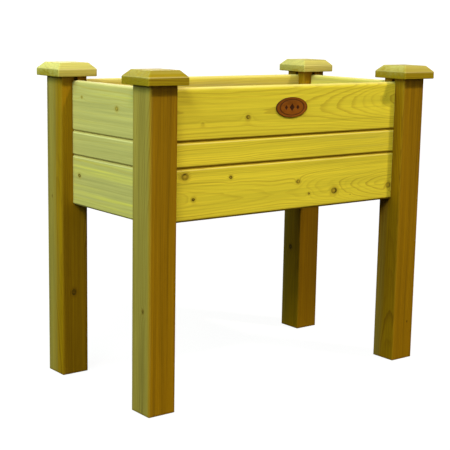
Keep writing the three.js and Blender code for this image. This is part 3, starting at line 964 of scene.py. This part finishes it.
# What sets a board's timber apart. Along runs to the right seen from outside, across runs up
# from the board's foot, and deep runs inwards. Knots are (along, across, radius, face).
BOARD_LOGS = {
    "front_top": {
        "pith": (0.072, 0.085), "lean": (0.012, 0.0), "bend": (0.10, -0.07, 0.03),
        "spacing": 0.0030, "heart": 0.95,
        "knots": [(-0.275, 0.042, 0.0015, "deep"), (-0.138, 0.052, 0.0042, "deep"),
                  (0.330, 0.089, 0.0012, "deep")],
    },
    "front_middle": {
        "pith": (0.11, 0.07), "lean": (0.01, 0.01), "bend": (0.2, 0.02, 0.1), "heart": 0.85,
    },
    "front_bottom": {
        "pith": (0.050, 0.060), "lean": (-0.03, 0.02), "bend": (-0.02, -0.09, 0.03),
        "spacing": 0.0029, "heart": 0.95,
        "knots": [(-0.325, 0.109, 0.0068, "deep"), (-0.300, 0.0525, 0.0034, "deep"),
                  (-0.188, 0.098, 0.0034, "deep"), (0.030, 0.072, 0.0042, "deep"),
                  (0.068, 0.038, 0.0026, "deep"), (0.156, 0.039, 0.0066, "deep"),
                  (0.214, 0.024, 0.0014, "deep"), (0.356, 0.0386, 0.006, "deep")],
    },
    "left_top": {
        "pith": (0.15, 0.06), "heart": 0.05,
        "knots": [(0.046, 0.070, 0.0042, "deep"), (-0.116, 0.087, 0.0026, "deep")],
    },
    "left_middle": {"pith": (0.11, 0.06), "heart": 0.12},
    "left_bottom": {
        "pith": (0.13, 0.07), "heart": 0.25,
        "knots": [(-0.129, 0.078, 0.004, "deep")],
    },
    "right_bottom": {"heart": 0.3},
    "right_middle": {"heart": 0.3},
    "right_top": {"heart": 0.35},
    "rear_top": {
        "heart": 0.5,
        "knots": [(0.21, 0.05, 0.006, "deep"), (-0.2, 0.09, 0.004, "deep")],
    },
    "rear_bottom": {
        "heart": 0.8,
        "knots": [(-0.05, 0.06, 0.007, "deep"), (0.3, 0.03, 0.004, "deep")],
    },
}


class PLANTER_OT_boards(Operator):
    """Build the twelve boards, tongued, grooved and dovetailed"""

    bl_idname = "planter.boards"
    bl_label = "Boards"

    def execute(self, context):
        sizes, looks = context.scene.planter_sizes, context.scene.planter_looks
        material = board_cedar(looks)
        places = [(quarter, level) for quarter in range(4) for level in ("bottom", "middle", "top")]
        for number, (quarter, level) in enumerate(places, FIRST_BOARD_LOG):
            side = SIDES[quarter]
            name = f"board_{side}_{level}"
            low, high, _ = box_of(name)
            thick, run = sorted(high[:2] - low[:2])
            tongued = level != "top"
            height = high[2] - low[2] - (sizes.tongue_height if tongued else 0)
            body = run - 2 * sizes.tail_length
            shell = board_shell(body, thick / 2, height, level != "bottom", tongued, sizes)
            mesh = shell.mesh(f"{name}_timber")
            points = points_of(mesh)
            x, y, z = points.T
            edge = board_edge(x, z, body, thick, height, tongued, JOINT_SHADE[side], sizes)
            log = log_for(looks, number, **BOARD_LOGS.get(f"{side}_{level}", {}))
            log.write(mesh, x, z, y, edge)
            placed = turned(points, quarter) + foot_of(name)
            finish_piece(mesh, name, material, placed)
        return {"FINISHED"}


# ---- Floor ----
def slat_shell(half_width, half_length, thickness, low_notch, high_notch, sizes):
    """
    A slat along Y: its section carried from end to end, with x held inside the plan. A notched
    slat's plan is narrower over a notch's length at each end, on the side that meets the posts.
    A notch is (width, length), both 0 if there is none.
    """
    box = np.array([half_width, thickness / 2]) * SQUARE + np.array([0, thickness / 2])
    section = dense(rounded(box, sizes.slat_ease, 3), PLAN_STEP)[::-1]
    notch_length = max(low_notch[1], high_notch[1])
    y = stations(-half_length, half_length, LONG_STEP)
    if notch_length:
        start = half_length - notch_length
        inner = stations(-start, start, LONG_STEP)
        outer = stations(start, half_length, LONG_STEP)
        y = np.concatenate([-outer[::-1], inner, outer])
        notched = np.concatenate([np.ones(len(outer)), np.zeros(len(inner)), np.ones(len(outer))])
    else:
        notched = np.zeros(len(y))
    low = -half_width + low_notch[0] * notched
    high = half_width - high_notch[0] * notched
    x = np.clip(section[:, 0], low[:, None], high[:, None])
    z = np.broadcast_to(section[:, 1], x.shape)
    loops = np.stack([x, np.broadcast_to(y[:, None], x.shape), z], axis=-1)
    shell = Shell()
    shell.tube(loops)
    shell.lid((0, -1, 0), loops[0])
    shell.lid((0, 1, 0), loops[-1])
    return shell


SLAT_COUNT = 6
FIRST_SLAT_LOG = 41


class PLANTER_OT_floor(Operator):
    """Build the loose floor slats, and finish the cleats that carry them"""

    bl_idname = "planter.floor"
    bl_label = "Floor"

    def execute(self, context):
        sizes, looks = context.scene.planter_sizes, context.scene.planter_looks
        material = floor_cedar(looks)
        _, post_high, _ = box_of("post_front_left")
        clear_x, clear_y = -post_high[:2] - sizes.slat_notch_gap
        for number in range(SLAT_COUNT):
            name = f"slat_{number + 1}"
            low, high, _ = box_of(name)
            # How far each side reaches past the posts' inner faces. Where it does, it's notched.
            widths = (-clear_x - low[0], high[0] - clear_x)
            notches = [(width, high[1] - clear_y) if width > 0 else (0.0, 0.0) for width in widths]
            half_width, half_length, _ = (high - low) / 2
            shell = slat_shell(half_width, half_length, high[2] - low[2], *notches, sizes)
            mesh = shell.mesh(f"{name}_timber")
            points = points_of(mesh)
            x, y, z = points.T
            log_for(looks, FIRST_SLAT_LOG + number).write(mesh, y, x, z, np.zeros(len(x)))
            finish_piece(mesh, name, material, points + foot_of(name))
        long_cedar = cleat_cedar(looks, "cedar_cleat_long", 0.0)
        short_cedar = cleat_cedar(looks, "cedar_cleat_short", math.pi / 2)
        for side in SIDES:
            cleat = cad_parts[f"cleat_{side}"]
            wear(cleat, long_cedar if side in ("front", "rear") else short_cedar)
        return {"FINISHED"}


def wear(cad_node, material):
    """Gives a CAD node that stays in view a better material, in every slot."""
    for slot in cad_node.material_slots:
        slot.material = material


# ---- Fixings ----
SCREW_CORE = 0.68  # of the radius over the thread
SCREW_HEAD_DEPTH = 3 * MM
SCREW_HEAD_EDGE = 0.25 * MM
SCREW_PLAIN_SHANK = 4 * MM
SCREW_POINT = 5.5 * MM
STAR_SIZE, STAR_LOBES, STAR_SWELL, STAR_DEPTH = 0.42, 6, 0.16, 1.8 * MM  # size is of the head's


def screw_shell(length, sizes):
    """
    A screw down -Z with its head's face at z = 0. Loops run from the middle of the star recess out
    over the head, down its cone and along the shank, where the radius swells and shrinks with
    angle / 360 degrees + depth / pitch, which winds a thread. Last comes the point.
    """
    count = 48
    angle = 2 * math.pi * np.arange(count) / count
    head, pitch = sizes.screw_head, sizes.screw_pitch
    star = STAR_SIZE * head * (1 + STAR_SWELL * np.cos(STAR_LOBES * angle))
    core, crest = SCREW_CORE * sizes.screw_radius, sizes.screw_radius
    thread_start = SCREW_HEAD_DEPTH + SCREW_PLAIN_SHANK
    depth = stations(thread_start, length - SCREW_POINT - 0.5 * MM, pitch / 6)
    wave = angle / (2 * math.pi) + depth[:, None] / pitch
    thread = core + (crest - core) * np.abs(np.cos(math.pi * wave)) ** 6
    rows = [(0, STAR_DEPTH), (0.85 * star, STAR_DEPTH), (star, 0), (head - SCREW_HEAD_EDGE, 0)]
    rows += [(head, SCREW_HEAD_EDGE), (core, SCREW_HEAD_DEPTH), (core, thread_start - 0.1 * MM)]
    rows += zip(thread, depth)
    rows += [(core, length - SCREW_POINT), (0, length)]
    radii = np.array([np.broadcast_to(radius, count) for radius, _ in rows])
    depths = np.broadcast_to([[depth] for _, depth in rows], radii.shape)
    shell = Shell()
    shell.tube(np.stack([radii * np.cos(angle), radii * np.sin(angle), -depths], axis=-1))
    return shell


class PLANTER_OT_fixings(Operator):
    """Build the cleats' screws, and finish the dowels under the caps"""

    bl_idname = "planter.fixings"
    bl_label = "Fixings"

    def execute(self, context):
        sizes, looks = context.scene.planter_sizes, context.scene.planter_looks
        zinc = screw_zinc(looks)
        for quarter, side in enumerate(SIDES):
            for name in sorted(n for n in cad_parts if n.startswith(f"screw_{side}_")):
                low, high, middle = box_of(name)
                length = max(high - low)
                mesh = screw_shell(length, sizes).mesh(f"{name}_threaded")
                x, y, z = points_of(mesh).T
                # Laid down so that the head faces in, +Y on the front side.
                laid = np.stack([x, z + length / 2, -y], axis=-1)
                placed = turned(laid, quarter) + middle
                finish_piece(mesh, name, zinc, placed, sharp=40)
        beech = dowel_beech()
        for corner in CORNERS:
            wear(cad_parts[f"dowel_{corner}"], beech)
        return {"FINISHED"}


# ---- Badge ----
CARVED_DEPTH = 0.5 * MM
CARVED_LINE = 0.9 * MM
BADGE_EDGE = 0.8 * MM  # radius round the badge's face and back
DARK_RIM = 0.93, 0.05  # where its dark rim starts, as a share of the way out, and its soft edge
DIAMONDS = (
    # Place to either side, half width, half height and crispness.
    (0, 9 * MM, 11 * MM, 5),
    (19 * MM, 6 * MM, 7 * MM, 4),
)


def carving(x, z, half_x, half_z, border):
    """
    How deep the badge is cut at each point, from 0 to 1: a line that keeps inside its oval edge by
    the border, and a row of three diamonds, |x| / across + |z| / up < 1, over a soft edge.
    """
    inward = (1 - np.hypot(x / half_x, z / half_z)) * half_z
    cut = np.exp(-(((inward - border) / CARVED_LINE) ** 2))
    for place, across, up, crisp in DIAMONDS:
        inside = 1 - np.abs(np.abs(x) - place) / across - np.abs(z) / up
        cut = np.maximum(cut, (crisp * inside).clip(0, 1))
    return cut


def badge_shell(size, sizes):
    """
    An oval plaque in x and z, its back at y = 0 and its face to -Y: ovals that shrink towards the
    middle, x = share a cos t and z = share b sin t, cut back where it's carved.
    """
    half_x, thickness, half_z = size[0] / 2, size[1], size[2] / 2
    count = 192
    angle = -2 * math.pi * np.arange(count) / count
    insets, heights = quarter_round(BADGE_EDGE)

    def oval(share, inset, y):
        x = (half_x - inset) * share * np.cos(angle)
        z = (half_z - inset) * share * np.sin(angle)
        return np.stack([x, np.broadcast_to(y, x.shape), z], axis=-1)

    def face(share):
        loop = oval(share, BADGE_EDGE, -thickness)
        x, _, z = loop.T
        loop[:, 1] += CARVED_DEPTH * carving(x, z, half_x, half_z, sizes.badge_border)
        return loop

    loops = [oval(share, BADGE_EDGE, 0) for share in np.linspace(0, 1, 8)]
    loops += [oval(1, i, -h) for i, h in zip(insets[1:], heights[1:])]
    loops += [oval(1, i, h - thickness) for i, h in zip(insets[::-1], heights[::-1])]
    loops += [face(share) for share in np.linspace(1, 0, 80)[1:]]
    shell = Shell()
    shell.tube(np.array(loops))
    return shell


class PLANTER_OT_badge(Operator):
    """Build the plain oval badge"""

    bl_idname = "planter.badge"
    bl_label = "Badge"

    def execute(self, context):
        sizes, looks = context.scene.planter_sizes, context.scene.planter_looks
        low, high, middle = box_of("badge")
        mesh = badge_shell(high - low, sizes).mesh("badge_plaque")
        points = points_of(mesh)
        x, y, z = points.T
        half_x, _, half_z = (high - low) / 2
        cut = carving(x, z, half_x, half_z, sizes.badge_border)
        # The badge is painted darker towards its rim, in the same attribute as its carving.
        start, soft = DARK_RIM
        rim = ((np.hypot(x / half_x, z / half_z) - start) / soft).clip(0, 1)
        layer = mesh.attributes.new("carving", "FLOAT", "POINT")
        layer.data.foreach_set("value", np.maximum(cut, 0.8 * rim).astype(np.float32))
        place = np.array([middle[0], high[1], middle[2]])
        finish_piece(mesh, "badge", badge_stain(looks), points + place, sharp=50)
        return {"FINISHED"}


# ---- Stage ----
CAMERA_AZIMUTH = 37.894  # degrees that the view is turned to the right of +Y
CAMERA_ELEVATION = 10.327
CAMERA_ROLL = 1.035
CAMERA_DISTANCE = 3.0586
CAMERA_TARGET = (-0.0429, 0, 0.3871)
CAMERA_LENS = 91.785  # focal length, and the width of the film, in millimetres
CAMERA_FILM = 36
SUNS = (
    # Name, degrees to the right of -Y, degrees up, strength, colour and width in degrees.
    ("key", 32, 50, 1.9, "#FFEEE0", 5),
    ("front_fill", -50, 40, 1.35, "#FFFFFF", 20),
    ("low_fill", 0, 15, 0.55, "#FFF6E8", 40),
    ("rear_fill", 165, 20, 2.0, "#FFF8EC", 50),
)
PANEL_PLACE = (-3.0, -0.1, 2.1)  # a soft light near the planter, stronger on its left end
PANEL_TARGET = (0, 0, 0.6)
PANEL_SIDE = 2.0
PANEL_WATTS = 96
PANEL_COLOUR = "#D6FFF3"
FLOOR_RADIUS = 10
FLOOR_CURVE = 3  # radius of the curve from the floor up into its wall
WALL_HEIGHT = 12


def aim(turn, tilt, roll=0):
    """What looks down -Z, rolled, tilted up from there and turned about Z, in degrees."""
    steps = ((turn, "Z"), (tilt, "X"), (roll, "Z"))
    first, second, third = (Matrix.Rotation(math.radians(angle), 4, axis) for angle, axis in steps)
    return first @ second @ third


def lamp(name, kind, strength, hex_colour, **settings):
    """A lamp at the origin that shines down -Z."""
    light = bpy.data.lights.new(name, kind)
    light.energy = strength
    light.color = linear(hex_colour)[:3]
    for setting, value in settings.items():
        setattr(light, setting, value)
    return put(name, light)


def sun(name, turn, height, strength, hex_colour, width):
    """A sun that shines from a turn to the right of -Y and a height over the ground, in degrees."""
    lit = lamp(name, "SUN", strength, hex_colour, angle=math.radians(width))
    lit.matrix_world = aim(turn, 90 - height)


def panel():
    """A square soft light at the planter's left that faces the middle of its box."""
    lit = lamp("left_panel", "AREA", PANEL_WATTS, PANEL_COLOUR, shape="SQUARE", size=PANEL_SIDE)
    place = Vector(PANEL_PLACE)
    facing = (Vector(PANEL_TARGET) - place).to_track_quat("-Z", "Y")
    lit.matrix_world = Matrix.Translation(place) @ facing.to_matrix().to_4x4()
    lit.visible_camera = False


def studio_world():
    """A dim dome that is brighter towards the horizon, with nothing below it."""
    world = bpy.data.worlds.new("studio")
    world.use_nodes = True
    world.node_tree.nodes.clear()
    add = partial(add_node, world.node_tree)
    up = add("SeparateXYZ", add("TexCoord", output="Generated"), output="Z")
    dome = add("MapRange", up, 0.15, 0.5, 0.2, 0.05, **SMOOTH)
    above = add("MapRange", up, -0.1, 0, 0, 1, **SMOOTH)
    level = add("Math", dome, above, operation="MULTIPLY")
    add("OutputWorld", add("Background", add("CombineXYZ", level, level, level), 1.0))
    bpy.context.scene.world = world


def stage_floor():
    """
    A pale floor that curves up into a wall all round: a profile turned about Z. It glows, so
    that it reads as one white sweep, and it throws no light or shadow on the planter.
    """
    material, add = new_material("studio_sweep_pale")
    rise = add("SeparateXYZ", add("TexCoord", output="Object"), output="Z")
    glow = add("MapRange", rise, 0, 0.2, 0.93, 1, **SMOOTH)
    pale = {"Base Color": (0.1, 0.1, 0.1, 1), "Roughness": 0.9, "Specular IOR Level": 0.0}
    pale.update({"Emission Color": (1, 1, 1, 1), "Emission Strength": glow})
    add("OutputMaterial", add("BsdfPrincipled", named=pale))
    t = np.linspace(0, math.pi / 2, 9)
    wall = FLOOR_RADIUS + FLOOR_CURVE
    radius = np.concatenate([[0, 2, 4, 7], FLOOR_RADIUS + FLOOR_CURVE * np.sin(t), [wall]])
    height = np.concatenate([[0, 0, 0, 0], FLOOR_CURVE - FLOOR_CURVE * np.cos(t), [WALL_HEIGHT]])
    shell = Shell()
    shell.tube(np.array([ring_of(r, 64, z)[::-1] for r, z in zip(radius, height)])[::-1])
    mesh = shell.mesh("studio_sweep")
    mesh.materials.append(material)
    mesh.shade_smooth()
    sweep = put("studio_sweep", mesh)
    sweep.visible_diffuse = False
    sweep.visible_glossy = False
    sweep.visible_shadow = False


class PLANTER_OT_stage(Operator):
    """Set the floor, the lights and the camera"""

    bl_idname = "planter.stage"
    bl_label = "Stage"

    def execute(self, context):
        scene = context.scene
        stage_floor()
        studio_world()
        for settings in SUNS:
            sun(*settings)
        panel()
        lens = bpy.data.cameras.new("camera")
        lens.lens = CAMERA_LENS
        lens.sensor_width = CAMERA_FILM
        camera = put("camera", lens)
        facing = aim(-CAMERA_AZIMUTH, 90 - CAMERA_ELEVATION, CAMERA_ROLL)
        place = Vector(CAMERA_TARGET) + facing @ Vector((0, 0, CAMERA_DISTANCE))
        camera.matrix_world = Matrix.Translation(place) @ facing
        scene.camera = camera
        scene.view_settings.view_transform = "Standard"
        return {"FINISHED"}


class PLANTER_PT_tools(Panel):
    """Every step of the planter, in the order that it is built"""

    bl_label = "Cedar planter"
    bl_idname = "PLANTER_PT_tools"
    bl_space_type = "VIEW_3D"
    bl_region_type = "UI"
    bl_category = "Planter"

    def draw(self, context):
        for operator in OPERATORS:
            self.layout.operator(operator.bl_idname)
        for group in (context.scene.planter_sizes, context.scene.planter_looks):
            for name in group.__annotations__:
                self.layout.prop(group, name)


OPERATORS = (
    PLANTER_OT_posts,
    PLANTER_OT_caps,
    PLANTER_OT_boards,
    PLANTER_OT_floor,
    PLANTER_OT_fixings,
    PLANTER_OT_badge,
    PLANTER_OT_stage,
)
CLASSES = (PlanterSizes, PlanterLooks, *OPERATORS, PLANTER_PT_tools)


def register():
    """Makes the planter's operators, panel and properties known to Blender."""
    for each in CLASSES:
        bpy.utils.register_class(each)
    bpy.types.Scene.planter_sizes = PointerProperty(type=PlanterSizes)
    bpy.types.Scene.planter_looks = PointerProperty(type=PlanterLooks)


def unregister():
    """Takes them away again, last first."""
    del bpy.types.Scene.planter_looks
    del bpy.types.Scene.planter_sizes
    for each in reversed(CLASSES):
        bpy.utils.unregister_class(each)


def main():
    """Builds every piece and the stage."""
    register()
    bpy.ops.planter.posts()
    bpy.ops.planter.caps()
    bpy.ops.planter.boards()
    bpy.ops.planter.floor()
    bpy.ops.planter.fixings()
    bpy.ops.planter.badge()
    bpy.ops.planter.stage()
    bpy.context.view_layer.update()


if __name__ == "__main__":
    main()
